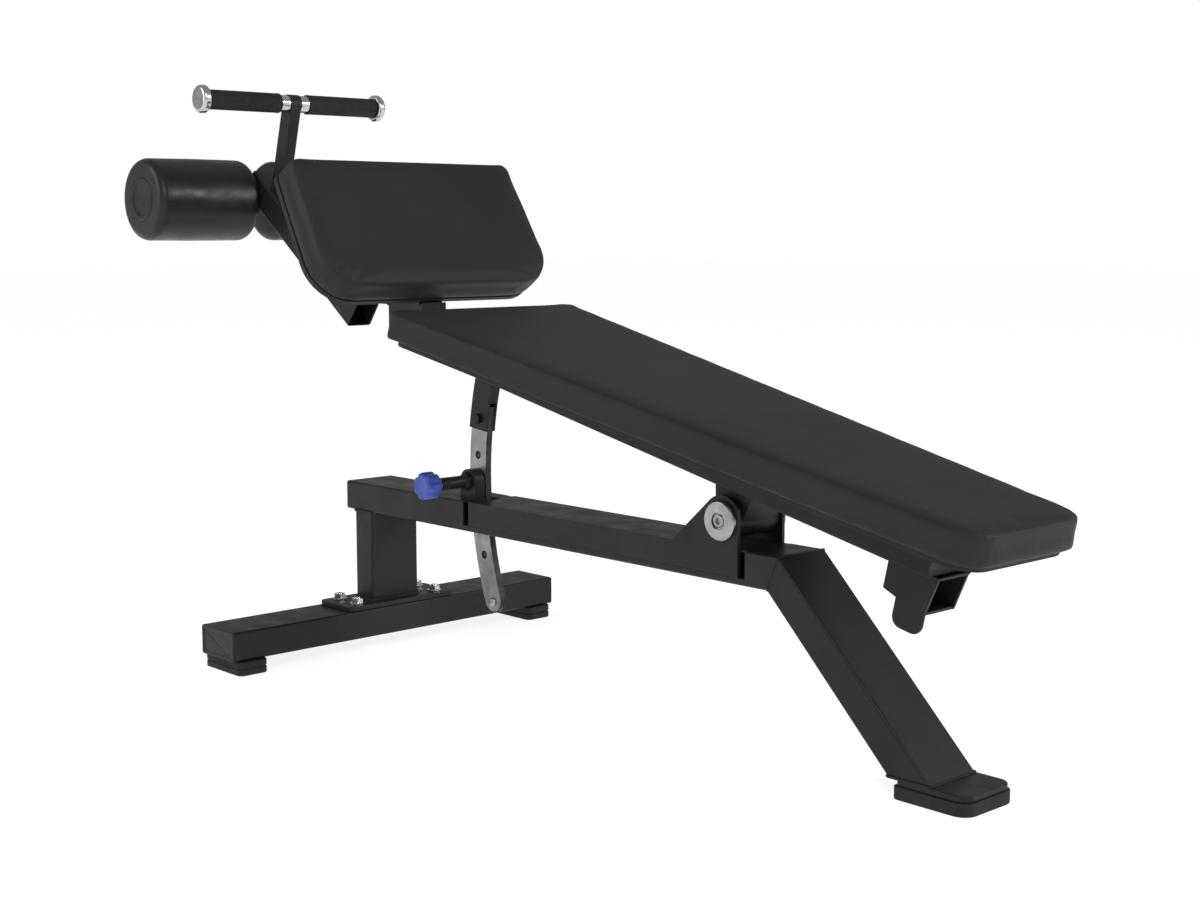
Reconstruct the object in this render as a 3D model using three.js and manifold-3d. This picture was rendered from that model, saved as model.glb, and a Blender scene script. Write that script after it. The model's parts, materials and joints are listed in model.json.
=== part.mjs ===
// Adjustable decline bench: a tapered board that tilts on a welded under-frame,
// with a knee pad, a pair of shin rollers and a T-handle at its raised end.
// Millimetres, +Z up, the floor at z = 0. +X runs along the bench from the rollers
// towards the low end of the board, and y = 0 is the plane of symmetry.
import * as THREE from "three";
import { mergeVertices } from "three/addons/utils/BufferGeometryUtils.js";
import Module from "manifold-3d";

const wasm = await Module();
wasm.setup();

// ---- Driving dimensions ----
const GAP = 0.3;                 // left between pieces that touch
const WALL = 3;                  // wall of the steel tubes
const TUBE_WIDE = 100;           // long side of the main tube section
const TUBE_FLAT = 50;            // short side of the main tube section
const HALF = TUBE_WIDE / 2;      // half width of the frame across the bench
const ROUND = 32;                // sides of a round piece

const FOOT_HEIGHT = 24;          // rubber feet under the crossbar
const CROSSBAR_LENGTH = 700;
const CAP_THICK = 3;             // plate of a plastic tube cap
const PLUG_DEPTH = 12;           // how far a tube cap reaches into its tube
const BASE_PLATE = { long: 230, wide: 96, thick: 8, boltX: 27, boltY: 85 };
const BEAM_BOTTOM = 240.5;
const BEAM_REAR = -46;           // rear end of the beam, without its cap
const KNEE_X = 954;              // where the beam's underside meets the leg
const LEG_ANGLE = Math.PI / 4;   // slope of the front leg
const LEG_FOOT = { top: 27, rear: 1180, front: 1298, half: 55, plate: 8, frontCorner: 21 };

const PIVOT = { x: 869, z: 329 };
const SIDE_PLATE = { thick: 6, start: 297.8, end: 899.8, lip: 10, slit: 14,
  earFoot: 772, earRadius: 36 };
const SHAFT_RADIUS = 12.5;
const BARREL_RADIUS = 27;
const BUSH_RADIUS = 16;

const BOARD = { x: 711, z: 517.2, slope: THREE.MathUtils.degToRad(12.4) };
const PAD_THICK = 47;
const PLY_THICK = 7;
const SEAT_END = -446;           // along the board from its reference point
const HEAD_END = 659.5;
const SEAT_HALF = 198.6;
const HEAD_HALF = 125.2;
const BOARD_TUBE = { start: -451, end: 547, top: PAD_THICK + PLY_THICK + GAP };

const ARC = { inner: 579, outer: 620, thick: 12, top: 11.5, bottom: -20.2, holeRadius: 7 };
const HOLE_STEP = 4.025;         // degrees between the holes of the arc
const PIN_ANGLE = -0.83;         // degrees, where the pin sits at rest
const HOLE_NUMBERS = [-3, -2, -1, 0, 1];

const SUPPORT = { x: -75.9, z: 564.4, slope: THREE.MathUtils.degToRad(36.4), side: 50, length: 408 };
const AXLE = { x: -417, z: 790.7, radius: 10, half: 230, sleeve: 20, sleeveHalf: 24 };
const ROLLER = { radius: 76, inner: 27.5, outer: 238, round: 16, bore: 18.3 };
const KNEE_PAD = { x: 66.7, z: 860.1, slope: THREE.MathUtils.degToRad(58.8), tall: 252,
  topHalf: 234, bottomHalf: 244, thick: 54, board: 8,
  topCorner: 20, bottomCorner: 74, edge: 9 };
const NECK = { rear: 48, front: 148, width: 50 };
const HANDLE = { x: -276.6, z: 967.1, lean: THREE.MathUtils.degToRad(16), reach: 197 };

// ---- Materials ----
const paint = (color, roughness, metalness) =>
  new THREE.MeshStandardMaterial({ color, roughness, metalness });
const BLACK_PAINT = paint(0x2b2c2d, 0.45, 0.3);
const LEATHERETTE = paint(0x303233, 0.5, 0);
const FOAM_SKIN = paint(0x1f2021, 0.4, 0);
const CHROME = paint(0xb8babc, 0.2, 1);
const STEEL = paint(0x9a9c9e, 0.35, 0.9);
const RUBBER = paint(0x1b1b1c, 0.8, 0);
const BLACK_PLASTIC = paint(0x262727, 0.5, 0);
const BLUE_PLASTIC = paint(0x3a4fa8, 0.4, 0);
const PLYWOOD = paint(0x6b5640, 0.7, 0);
const BRONZE = paint(0x9b7a45, 0.4, 0.8);

// ---- Solids ----
function solid(geometry) {
  const bare = geometry.index ? geometry.toNonIndexed() : geometry.clone();
  bare.deleteAttribute("normal");
  bare.deleteAttribute("uv");
  const merged = mergeVertices(bare, 1e-4);
  const mesh = new wasm.Mesh({
    numProp: 3,
    vertProperties: merged.attributes.position.array,
    triVerts: new Uint32Array(merged.index.array),
  });
  return new wasm.Manifold(mesh);
}

function geometryOf(manifold) {
  const mesh = manifold.getMesh();
  const geometry = new THREE.BufferGeometry();
  geometry.setAttribute("position", new THREE.BufferAttribute(mesh.vertProperties, 3));
  geometry.setIndex(new THREE.BufferAttribute(mesh.triVerts, 1));
  geometry.computeVertexNormals();
  return geometry;
}

const cut = (body, ...tools) => tools.reduce((rest, tool) => rest.subtract(tool), body);
const join = (body, ...others) => others.reduce((sum, other) => sum.add(other), body);

// A box between two corners.
function box(low, high) {
  const size = high.map((value, i) => value - low[i]);
  const geometry = new THREE.BoxGeometry(...size);
  geometry.translate(...low.map((value, i) => value + size[i] / 2));
  return solid(geometry);
}

// A side outline in x and z, as a solid from y = from to y = to.
function prism(outline, from, to) {
  const toShape = (points) => new THREE.Shape(points.map(([x, z]) => new THREE.Vector2(x, z)));
  const shape = outline instanceof THREE.Shape ? outline : toShape(outline);
  const options = { depth: to - from, bevelEnabled: false, curveSegments: 20 };
  const geometry = new THREE.ExtrudeGeometry(shape, options);
  geometry.rotateX(Math.PI / 2);
  geometry.translate(0, to, 0);
  return solid(geometry);
}

// A round bar along Y.
function bar(x, z, radius, from, to, sides = ROUND) {
  const geometry = new THREE.CylinderGeometry(radius, radius, to - from, sides);
  geometry.translate(x, (from + to) / 2, z);
  return solid(geometry);
}

// A round bar along Z.
function stud(x, y, radius, from, to, sides = 16) {
  const geometry = new THREE.CylinderGeometry(radius, radius, to - from, sides);
  geometry.rotateX(Math.PI / 2);
  geometry.translate(x, y, (from + to) / 2);
  return solid(geometry);
}

// A turned piece about an axis along Y: the profile is [radius, y] pairs.
// It may run either way round: one that would face inwards is turned the other way.
function turned(profile, x, z, sides = ROUND) {
  const points = profile.map(([radius, y]) => new THREE.Vector2(radius, y));
  const area = points.reduce((sum, point, i) => sum + point.cross(points[(i + 1) % points.length]), 0);
  if (area < 0) points.reverse();
  const geometry = new THREE.LatheGeometry(points, sides);
  geometry.translate(x, 0, z);
  return solid(geometry);
}

// A polygon with each corner rounded by an arc of its own radius.
function roundedShape(points, radii) {
  const shape = new THREE.Shape();
  points.forEach(([x, y], i) => {
    const corner = new THREE.Vector2(x, y);
    const before = new THREE.Vector2(...points.at(i - 1)).sub(corner).normalize();
    const after = new THREE.Vector2(...points[(i + 1) % points.length]).sub(corner).normalize();
    const half = Math.acos(before.dot(after)) / 2;
    const reach = radii[i] / Math.tan(half);
    const start = corner.clone().addScaledVector(before, reach);
    const end = corner.clone().addScaledVector(after, reach);
    const middle = before.clone().add(after).normalize();
    const centre = corner.clone().addScaledVector(middle, radii[i] / Math.sin(half));
    const first = Math.atan2(start.y - centre.y, start.x - centre.x);
    const last = Math.atan2(end.y - centre.y, end.x - centre.x);
    const clockwise = before.cross(after) > 0;
    if (i === 0) shape.moveTo(start.x, start.y);
    else shape.lineTo(start.x, start.y);
    shape.absarc(centre.x, centre.y, radii[i], first, last, clockwise);
  });
  shape.closePath();
  return shape;
}

// A plate or pad: a plan outline in x and y, its top at z = top, with an eased edge.
function slab(shape, top, thick, edge = 0, edgeSteps = 2) {
  const options = edge
    ? { depth: thick - 2 * edge, bevelThickness: edge, bevelSize: edge, bevelOffset: -edge,
      bevelSegments: edgeSteps }
    : { depth: thick, bevelEnabled: false };
  const geometry = new THREE.ExtrudeGeometry(shape, { ...options, curveSegments: 4 });
  geometry.translate(0, 0, top - thick + edge);
  return solid(geometry);
}

// A plug-in cap for the end of a tube that runs along one axis (0 = X, 1 = Y).
// "at" is the tube's end, and "outward" the side that the cap's plate is on.
function tubeCap(axis, at, outward, low, high) {
  const plateLow = [...low];
  const plateHigh = [...high];
  const plugLow = low.map((value) => value + WALL + GAP);
  const plugHigh = high.map((value) => value - WALL - GAP);
  const plate = [at + outward * GAP, at + outward * (GAP + CAP_THICK)].sort((a, b) => a - b);
  const plug = [at + outward * (GAP + CAP_THICK / 2), at - outward * PLUG_DEPTH].sort((a, b) => a - b);
  [plateLow[axis], plateHigh[axis]] = plate;
  [plugLow[axis], plugHigh[axis]] = plug;
  return join(box(plateLow, plateHigh), box(plugLow, plugHigh));
}

const bench = new THREE.Group();
const fixed = new THREE.Group();
const board = new THREE.Group();
board.position.set(BOARD.x, 0, BOARD.z);
board.rotation.y = BOARD.slope;
bench.add(fixed, board);

function part(name, manifold, material, group = fixed) {
  const mesh = new THREE.Mesh(geometryOf(manifold), material);
  mesh.name = name;
  group.add(mesh);
}

// Both halves of a pair: -1 is the near side (-Y), 1 the far side (+Y).
const SIDES = [["near", -1], ["far", 1]];
const span = (side, from, to) => (side > 0 ? [from, to] : [-to, -from]);

// ---- Crossbar and post ----
const crossbarTop = FOOT_HEIGHT + GAP + TUBE_FLAT;

function crossbar() {
  const end = CROSSBAR_LENGTH / 2 - CAP_THICK - GAP;
  const low = [-HALF, -end, FOOT_HEIGHT + GAP];
  const high = [HALF, end, crossbarTop];
  const inside = box(
    [low[0] + WALL, low[1] - 1, low[2] + WALL],
    [high[0] - WALL, high[1] + 1, high[2] - WALL],
  );
  part("crossbar", cut(box(low, high), inside), BLACK_PAINT);
  for (const [name, side] of SIDES) {
    part(`crossbar_cap_${name}`, tubeCap(1, side * end, side, low, high), BLACK_PLASTIC);
    const [from, to] = span(side, 286, 342);
    const outline = roundedShape([[-56, from], [56, from], [56, to], [-56, to]], [10, 10, 10, 10]);
    part(`rubber_foot_${name}`, slab(outline, FOOT_HEIGHT, FOOT_HEIGHT, 2, 1), RUBBER);
  }
}

function basePlate() {
  const { long, wide, thick, boltX, boltY } = BASE_PLATE;
  const bottom = crossbarTop + GAP;
  const top = bottom + thick;
  const corners = [
    [-wide / 2, -long / 2],
    [wide / 2, -long / 2],
    [wide / 2, long / 2],
    [-wide / 2, long / 2],
  ];
  const outline = roundedShape(corners, [12, 12, 12, 12]);
  let plate = slab(outline, top, thick);
  let number = 0;
  for (const x of [-boltX, boltX]) {
    for (const y of [-boltY, boltY]) {
      plate = plate.subtract(stud(x, y, 6.5, bottom - 1, top + 1));
      const washer = stud(x, y, 13, top + GAP, top + GAP + 2.5);
      const head = stud(x, y, 10.5, top + GAP + 2, top + GAP + 10, 6);
      const shank = stud(x, y, 6, bottom + 0.5, top + GAP + 1);
      number += 1;
      part(`base_bolt_${number}`, join(washer, head, shank), CHROME);
    }
  }
  part("base_plate", plate, BLACK_PAINT);
}

function post() {
  const low = [-TUBE_FLAT / 2, -HALF, crossbarTop + BASE_PLATE.thick + 2 * GAP];
  const high = [TUBE_FLAT / 2, HALF, BEAM_BOTTOM - GAP];
  const inside = box(
    [low[0] + WALL, low[1] + WALL, low[2] - 1],
    [high[0] - WALL, high[1] - WALL, high[2] + 1],
  );
  part("post", cut(box(low, high), inside), BLACK_PAINT);
}

// ---- Beam, side plates and leg ----
const beamTop = BEAM_BOTTOM + TUBE_FLAT;
const mitreShift = TUBE_FLAT * Math.tan(LEG_ANGLE / 2);

function beam() {
  const outline = [
    [BEAM_REAR, BEAM_BOTTOM],
    [KNEE_X - GAP, BEAM_BOTTOM],
    [KNEE_X - GAP + mitreShift, beamTop],
    [BEAM_REAR, beamTop],
  ];
  const inside = box(
    [BEAM_REAR - 1, -HALF + WALL, BEAM_BOTTOM + WALL],
    [KNEE_X + 60, HALF - WALL, beamTop - WALL],
  );
  const arcSlot = box([241, -13, BEAM_BOTTOM - 1], [305, 13, beamTop + 1]);
  const { thick, start, end, lip, slit } = SIDE_PLATE;
  const windows = SIDES.map(([, side]) => {
    const [from, to] = span(side, HALF - thick - GAP, HALF + 1);
    return box([start - slit, from, BEAM_BOTTOM + lip], [end + slit, to, beamTop + 1]);
  });
  part("beam", cut(prism(outline, -HALF, HALF), inside, arcSlot, ...windows), BLACK_PAINT);
  const low = [BEAM_REAR, -HALF, BEAM_BOTTOM];
  const high = [BEAM_REAR, HALF, beamTop];
  part("beam_cap", tubeCap(0, BEAM_REAR, -1, low, high), BLACK_PLASTIC);
}

// A plate let into each side of the beam, which rises into the pivot's ear.
function sidePlates() {
  const { thick, start, end, lip, earFoot, earRadius } = SIDE_PLATE;
  const reach = Math.hypot(PIVOT.x - earFoot, PIVOT.z - beamTop);
  const toPivot = Math.atan2(PIVOT.z - beamTop, PIVOT.x - earFoot);
  const tangent = toPivot + Math.asin(earRadius / reach) + Math.PI / 2;
  const lastAngle = Math.acos((end - PIVOT.x) / earRadius);
  const outline = new THREE.Shape();
  outline.moveTo(start, BEAM_BOTTOM + lip + GAP);
  outline.lineTo(end, BEAM_BOTTOM + lip + GAP);
  outline.absarc(PIVOT.x, PIVOT.z, earRadius, lastAngle, tangent, false);
  outline.lineTo(earFoot, beamTop);
  outline.lineTo(start, beamTop);
  outline.closePath();
  for (const [name, side] of SIDES) {
    const [from, to] = span(side, HALF - thick, HALF);
    const hole = bar(PIVOT.x, PIVOT.z, SHAFT_RADIUS + GAP, from - 1, to + 1);
    part(`side_plate_${name}`, cut(prism(outline, from, to), hole), BLACK_PAINT);
  }
}

function leg() {
  const footTop = LEG_FOOT.top;
  const bottom = footTop + GAP;
  const run = 1 / Math.tan(LEG_ANGLE);
  const lower = KNEE_X + (BEAM_BOTTOM - bottom) * run;
  const upper = KNEE_X + mitreShift + (beamTop - bottom) * run;
  const outline = [
    [KNEE_X, BEAM_BOTTOM],
    [lower, bottom],
    [upper, bottom],
    [KNEE_X + mitreShift, beamTop],
  ];
  const across = WALL / Math.sin(LEG_ANGLE);
  const tall = beamTop - bottom + 60;
  const insideBottom = bottom - 30;
  const startLow = lower + across + 30 * run;
  const startHigh = upper - across + 30 * run;
  const hollow = [
    [startLow - tall * run, insideBottom + tall],
    [startLow, insideBottom],
    [startHigh, insideBottom],
    [startHigh - tall * run, insideBottom + tall],
  ];
  const tube = cut(prism(outline, -HALF, HALF), prism(hollow, -HALF + WALL, HALF - WALL));
  part("leg", tube, BLACK_PAINT);

  const { rear, front, half, plate, frontCorner } = LEG_FOOT;
  const plan = (inset) => {
    const [x0, x1, y] = [rear + inset, front - inset, half - inset];
    return roundedShape([[x0, -y], [x1, -y], [x1, y], [x0, y]], [8, frontCorner, frontCorner, 8]);
  };
  const shoeHeight = footTop - plate - GAP;
  part("leg_foot_plate", slab(plan(3), footTop, plate, 1, 1), BLACK_PAINT);
  part("leg_shoe", slab(plan(0), shoeHeight, shoeHeight, 2, 1), RUBBER);
}

// ---- Pivot ----
function pivot() {
  part("pivot_shaft", bar(PIVOT.x, PIVOT.z, SHAFT_RADIUS, -HALF, HALF), STEEL);
  for (const [name, side] of SIDES) {
    const profile = [[0, 0], [29, 0], [29, 4.5], [27, 6.5], [12, 8.5], [12, 5], [0, 5]];
    const placed = profile.map(([radius, y]) => [radius, side * (HALF + GAP + y)]);
    const cap = turned(placed, PIVOT.x, PIVOT.z);
    part(`pivot_cap_${name}`, cap, CHROME);
  }
}

// ---- Pop pin ----
const pin = {
  x: PIVOT.x - ((ARC.inner + ARC.outer) / 2) * Math.cos(THREE.MathUtils.degToRad(PIN_ANGLE)),
  z: PIVOT.z + ((ARC.inner + ARC.outer) / 2) * Math.sin(THREE.MathUtils.degToRad(PIN_ANGLE)),
};

function popPin() {
  const radius = 20;
  const bottom = beamTop + GAP;
  const outline = new THREE.Shape();
  outline.moveTo(pin.x - radius, bottom);
  outline.lineTo(pin.x + radius, bottom);
  outline.absarc(pin.x, pin.z, radius, 0, Math.PI, false);
  outline.closePath();
  const bore = bar(pin.x, pin.z, 6.4, -40, 0, 24);
  part("pin_housing", cut(prism(outline, -28, -8), bore), BLACK_PAINT);
  const barrelProfile = [[6.4, -28.3], [6.4, -86], [10.5, -86], [10.5, -40], [13, -37], [13, -28.3],
    [6.4, -28.3]];
  part("pin_barrel", turned(barrelProfile, pin.x, pin.z, 24), BLACK_PAINT);
  part("pop_pin", bar(pin.x, pin.z, 5.8, -90, -6.8, 24), STEEL);
  const grip = turned([[0, -90.4], [19, -90.4], [23, -92], [23, -96], [19, -98], [23, -103], [23, -120],
    [19, -125], [0, -125]], pin.x, pin.z, 24);
  part("pop_knob", grip, BLUE_PLASTIC);
}

// ---- Board and its tube: all in the board's own sloping frame ----
function boardPieces() {
  const plan = (inset) => {
    const taper = (SEAT_HALF - HEAD_HALF) / (HEAD_END - SEAT_END);
    const seat = SEAT_HALF - inset - taper * inset;
    const head = HEAD_HALF - inset + taper * inset;
    const [x0, x1] = [SEAT_END + inset, HEAD_END - inset];
    return roundedShape([[x0, -seat], [x1, -head], [x1, head], [x0, seat]], [22, 42, 42, 22]);
  };
  part("board_pad", slab(plan(0), 0, PAD_THICK, 8), LEATHERETTE, board);
  part("board_base", slab(plan(14), -PAD_THICK - GAP, PLY_THICK - GAP), PLYWOOD, board);

  const { start, end, top } = BOARD_TUBE;
  const low = [start, -HALF, -top - TUBE_FLAT];
  const high = [end, HALF, -top];
  const inside = box(
    [low[0] + WALL, low[1] + WALL, low[2] + WALL],
    [high[0] + 1, high[1] - WALL, high[2] - WALL],
  );
  part("board_tube", cut(box(low, high), inside), BLACK_PAINT, board);
  part("board_tube_cap", tubeCap(0, end, 1, low, high), BLACK_PLASTIC, board);
}

// A grip and stop welded under the low end: two stepped cheeks, a floor and a back.
function liftBracket() {
  const top = -(BOARD_TUBE.top + TUBE_FLAT + GAP);
  const half = 33;
  const plate = 4;
  const [rear, step, front] = [474, 496.5, 545];
  const mouthBottom = -160;
  const lobe = { bottom: -190, round: 15, steps: 6 };
  const roundCorner = (x, z, from) => Array.from({ length: lobe.steps + 1 }, (_, i) => {
    const angle = from + (i / lobe.steps) * (Math.PI / 2);
    return [x + lobe.round * Math.cos(angle), z + lobe.round * Math.sin(angle)];
  });
  const lobeZ = lobe.bottom + lobe.round;
  const shoulder = [[rear, top], [rear, -147], [step, -152]];
  const handle = [
    ...shoulder,
    ...roundCorner(step + lobe.round, lobeZ, Math.PI),
    ...roundCorner(front - lobe.round, lobeZ, 1.5 * Math.PI),
    [front, mouthBottom + 2],
    [front + 11, top],
  ];
  const cheek = [...shoulder, [step, mouthBottom], [front, mouthBottom], [front + 11, top]];
  const cheeks = [prism(handle, -half, plate - half), prism(cheek, half - plate, half)];
  const roof = box([rear, -half, top - plate], [front + 10.5, half, top]);
  const floor = box([step + 0.5, -half, mouthBottom], [front - 0.5, half, mouthBottom + plate]);
  const back = box([step + 0.5, -half, mouthBottom], [step + 0.5 + plate, half, top]);
  part("lift_bracket", join(cheeks[0], cheeks[1], roof, floor, back), BLACK_PAINT, board);
}

// ---- Pivot barrel, arc and clevis: they tilt with the board ----
// The distance from the pivot's axis up to the board tube's underside, along the board's normal.
const pivotDrop = (BOARD.x - PIVOT.x) * Math.sin(BOARD.slope)
  + (BOARD.z - PIVOT.z) * Math.cos(BOARD.slope) - BOARD_TUBE.top - TUBE_FLAT;

// A point given along and above the board's slope, from the pivot's axis.
const fromPivot = (along, above) => [
  PIVOT.x + Math.cos(BOARD.slope) * along + Math.sin(BOARD.slope) * above,
  PIVOT.z - Math.sin(BOARD.slope) * along + Math.cos(BOARD.slope) * above,
];

function pivotBarrel() {
  const half = HALF - SIDE_PLATE.thick - 2;
  const drop = pivotDrop - GAP;
  const sides = [fromPivot(-25, 0), fromPivot(25, 0), fromPivot(36, drop), fromPivot(-36, drop)];
  const pedestal = prism(sides, -half + 6, half - 6);
  const bore = bar(PIVOT.x, PIVOT.z, 16.3, -half - 1, half + 1);
  const tube = bar(PIVOT.x, PIVOT.z, BARREL_RADIUS, -half, half);
  part("pivot_barrel", cut(join(tube, pedestal), bore), BLACK_PAINT);
  for (const [name, side] of SIDES) {
    const [from, to] = span(side, 14, half);
    const hole = bar(PIVOT.x, PIVOT.z, SHAFT_RADIUS + 0.2, from - 1, to + 1);
    const ring = cut(bar(PIVOT.x, PIVOT.z, BUSH_RADIUS, from, to), hole);
    part(`pivot_bush_${name}`, ring, BRONZE);
  }
}

const onArc = (radius, degrees) => {
  const angle = THREE.MathUtils.degToRad(degrees);
  return [PIVOT.x - radius * Math.cos(angle), PIVOT.z + radius * Math.sin(angle)];
};

// A band of a ring about the pivot, between two angles above the level of its axis.
function arcBand(inner, outer, fromDegrees, toDegrees) {
  const toShape = (degrees) => Math.PI - THREE.MathUtils.degToRad(degrees);
  const band = new THREE.Shape();
  band.absarc(PIVOT.x, PIVOT.z, outer, toShape(toDegrees), toShape(fromDegrees), false);
  band.absarc(PIVOT.x, PIVOT.z, inner, toShape(fromDegrees), toShape(toDegrees), true);
  band.closePath();
  return band;
}

function arcAdjuster() {
  const { inner, outer, thick, top, bottom, holeRadius } = ARC;
  const middle = (inner + outer) / 2;
  const half = thick / 2;
  const nose = bar(...onArc(middle, bottom), (outer - inner) / 2 - 0.05, -half, half, 24);
  const boltAngle = 9.16;
  const holes = HOLE_NUMBERS.map((number) => bar(...onArc(middle, PIN_ANGLE + number * HOLE_STEP), holeRadius,
    -half - 1, half + 1, 24));
  const boltHole = bar(...onArc(middle, boltAngle), 5.4, -half - 1, half + 1, 24);
  const stopAngle = bottom - 0.4;
  const stopHole = bar(...onArc(middle, stopAngle), 4.4, -half - 1, half + 1, 24);
  const blank = join(prism(arcBand(inner, outer, bottom, top), -half, half), nose);
  const plate = cut(blank, ...holes, boltHole, stopHole);
  part("arc_plate", plate, CHROME);

  const cheek = 3.5;
  const gap = half + GAP;
  const clevisTop = 17.2;
  const outlineBand = arcBand(inner - 1, outer + 1, 7.4, clevisTop + 4);
  const underside = pivotDrop - GAP;
  const aboveOutline = [
    fromPivot(-900, underside),
    fromPivot(0, underside),
    fromPivot(0, 400),
    fromPivot(-900, 400),
  ];
  const above = prism(aboveOutline,
    -60, 60);
  const cheeks = SIDES.map(([, side]) => prism(outlineBand, ...span(side, gap, gap + cheek)));
  const bridgeBand = arcBand(inner - 1, outer + 1, top + 0.6, clevisTop + 4);
  const bridge = prism(bridgeBand, -gap - cheek, gap + cheek);
  const hole = bar(...onArc(middle, boltAngle), 5.4, -30, 30, 16);
  part("arc_clevis", cut(join(cheeks[0], cheeks[1], bridge), above, hole), BLACK_PAINT);

  const bolt = join(
    bar(...onArc(middle, boltAngle), 5, -gap - cheek - 1, 20, 16),
    bar(...onArc(middle, boltAngle), 8.5, -gap - cheek - 6.5, -gap - cheek - GAP, 6),
    bar(...onArc(middle, boltAngle), 8.5, gap + cheek + GAP, gap + cheek + 7, 6),
  );
  part("arc_bolt", bolt, BLACK_PAINT);
  const stop = join(
    bar(...onArc(middle, stopAngle), 4, -half - 1, half + 1, 24),
    bar(...onArc(middle, stopAngle), 7.5, -half - 6, -half - GAP, 16),
    bar(...onArc(middle, stopAngle), 7.5, half + GAP, half + 6, 16),
  );
  part("arc_stop", stop, STEEL);
}

// ---- Neck: from the board tube's raised end up to the knee pad ----
const boardPoint = (along, depth) => [
  BOARD.x + along * Math.cos(BOARD.slope) - depth * Math.sin(BOARD.slope),
  BOARD.z - along * Math.sin(BOARD.slope) - depth * Math.cos(BOARD.slope),
];

// The point at a given x on the line that lies at one depth under the board.
function boardPointAt(x, depth) {
  const along = (x - BOARD.x + depth * Math.sin(BOARD.slope)) / Math.cos(BOARD.slope);
  return boardPoint(along, depth);
}

const kneePoint = (down, depth) => [
  KNEE_PAD.x + down * Math.cos(KNEE_PAD.slope) - depth * Math.sin(KNEE_PAD.slope),
  KNEE_PAD.z - down * Math.sin(KNEE_PAD.slope) - depth * Math.cos(KNEE_PAD.slope),
];

const KNEE_PLATE = 5;
const kneeBack = KNEE_PAD.thick + KNEE_PAD.board + 3 * GAP + KNEE_PLATE;

// The underside of the bridge, level with the upper corner of the support tube's open end.
const bridgeBottom = 607;
const supportTop = (x) => {
  const [cornerX, cornerZ] = supportPoint(0, SUPPORT.side + GAP);
  return cornerZ + (cornerX - x) * Math.tan(SUPPORT.slope);
};
const supportTopAt = (z) => {
  const [cornerX, cornerZ] = supportPoint(0, SUPPORT.side + GAP);
  return cornerX - (z - cornerZ) / Math.tan(SUPPORT.slope);
};

function supportPoint(along, across) {
  return [
    SUPPORT.x - along * Math.cos(SUPPORT.slope) + across * Math.sin(SUPPORT.slope),
    SUPPORT.z + along * Math.sin(SUPPORT.slope) + across * Math.cos(SUPPORT.slope),
  ];
}

function neck() {
  const half = NECK.width / 2;
  const top = BOARD_TUBE.top;
  const bottom = top + TUBE_FLAT;
  const start = BOARD_TUBE.start - GAP;
  const front = NECK.front + GAP;
  const stub = [
    boardPoint(start, bottom),
    boardPoint(start, top),
    boardPointAt(front, top),
    boardPointAt(front, bottom),
  ];
  const [inTop, inBottom] = [top + WALL, bottom - WALL];
  const endWall = 9;
  const stubInside = [
    boardPoint(start + endWall, inBottom),
    boardPoint(start + endWall, inTop),
    boardPointAt(front - endWall, inTop),
    boardPointAt(front - endWall, inBottom),
  ];
  const stubHollow = prism(stubInside, -half + WALL, half - WALL);
  part("seat_stub", cut(prism(stub, -half, half), stubHollow), BLACK_PAINT);

  const padFloor = KNEE_PAD.tall + 2;
  const depthAt = (x) => (kneePoint(padFloor, 0)[0] - x) / Math.sin(KNEE_PAD.slope);
  const downAt = (x) => (x - kneePoint(0, kneeBack)[0]) / Math.cos(KNEE_PAD.slope);
  const outline = [
    boardPointAt(NECK.rear, bottom),
    boardPointAt(NECK.front, bottom),
    kneePoint(padFloor, depthAt(NECK.front)),
    kneePoint(padFloor, kneeBack),
    kneePoint(downAt(NECK.rear), kneeBack),
  ];
  const rearIn = NECK.rear + WALL;
  const frontIn = NECK.front - WALL;
  const inside = [
    boardPointAt(rearIn, inBottom),
    boardPointAt(frontIn, inBottom),
    kneePoint(padFloor + WALL, depthAt(frontIn)),
    kneePoint(padFloor + WALL, kneeBack + WALL),
    kneePoint(downAt(rearIn) + WALL, kneeBack + WALL),
  ];
  const hollow = prism(inside, -half + WALL, half - WALL);
  const [, stubLow] = boardPointAt(front, inBottom);
  const mouth = box(
    [frontIn - 1, -half + 8, stubLow + 8],
    [NECK.front + 1, half - 8, stubLow + 32],
  );
  part("neck_post", cut(prism(outline, -half, half), hollow, mouth), BLACK_PAINT);

  const bridgeTop = bridgeBottom + 50;
  const rear = NECK.rear - GAP;
  const bridge = [[rear, bridgeBottom], [rear, bridgeTop], [supportTopAt(bridgeTop), bridgeTop],
    [supportTopAt(bridgeBottom), bridgeBottom]];
  const bridgeInside = box(
    [-200, -half + WALL, bridgeBottom + WALL],
    [100, half - WALL, bridgeTop - WALL],
  );
  part("neck_bridge", cut(prism(bridge, -half, half), bridgeInside), BLACK_PAINT);
}

function kneePad() {
  const { tall, topHalf, bottomHalf, topCorner, bottomCorner, edge } = KNEE_PAD;
  const { thick, board: boardThick } = KNEE_PAD;
  const local = new THREE.Group();
  local.position.set(KNEE_PAD.x, 0, KNEE_PAD.z);
  local.rotation.y = KNEE_PAD.slope;
  bench.add(local);
  const plan = (inset) => roundedShape([
    [inset, inset - topHalf],
    [tall - inset, inset - bottomHalf],
    [tall - inset, bottomHalf - inset],
    [inset, topHalf - inset],
  ], [topCorner, bottomCorner, bottomCorner, topCorner].map((radius) => radius - inset));
  part("knee_pad", slab(plan(0), 0, thick, edge), LEATHERETTE, local);
  part("knee_pad_board", slab(plan(3), -thick - GAP, boardThick), PLYWOOD, local);
  const plateTop = -(thick + boardThick + 2 * GAP);
  const plate = box([96, -80, plateTop - KNEE_PLATE], [tall - 10, 80, plateTop]);
  part("knee_pad_plate", plate, BLACK_PAINT, local);
}

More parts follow.
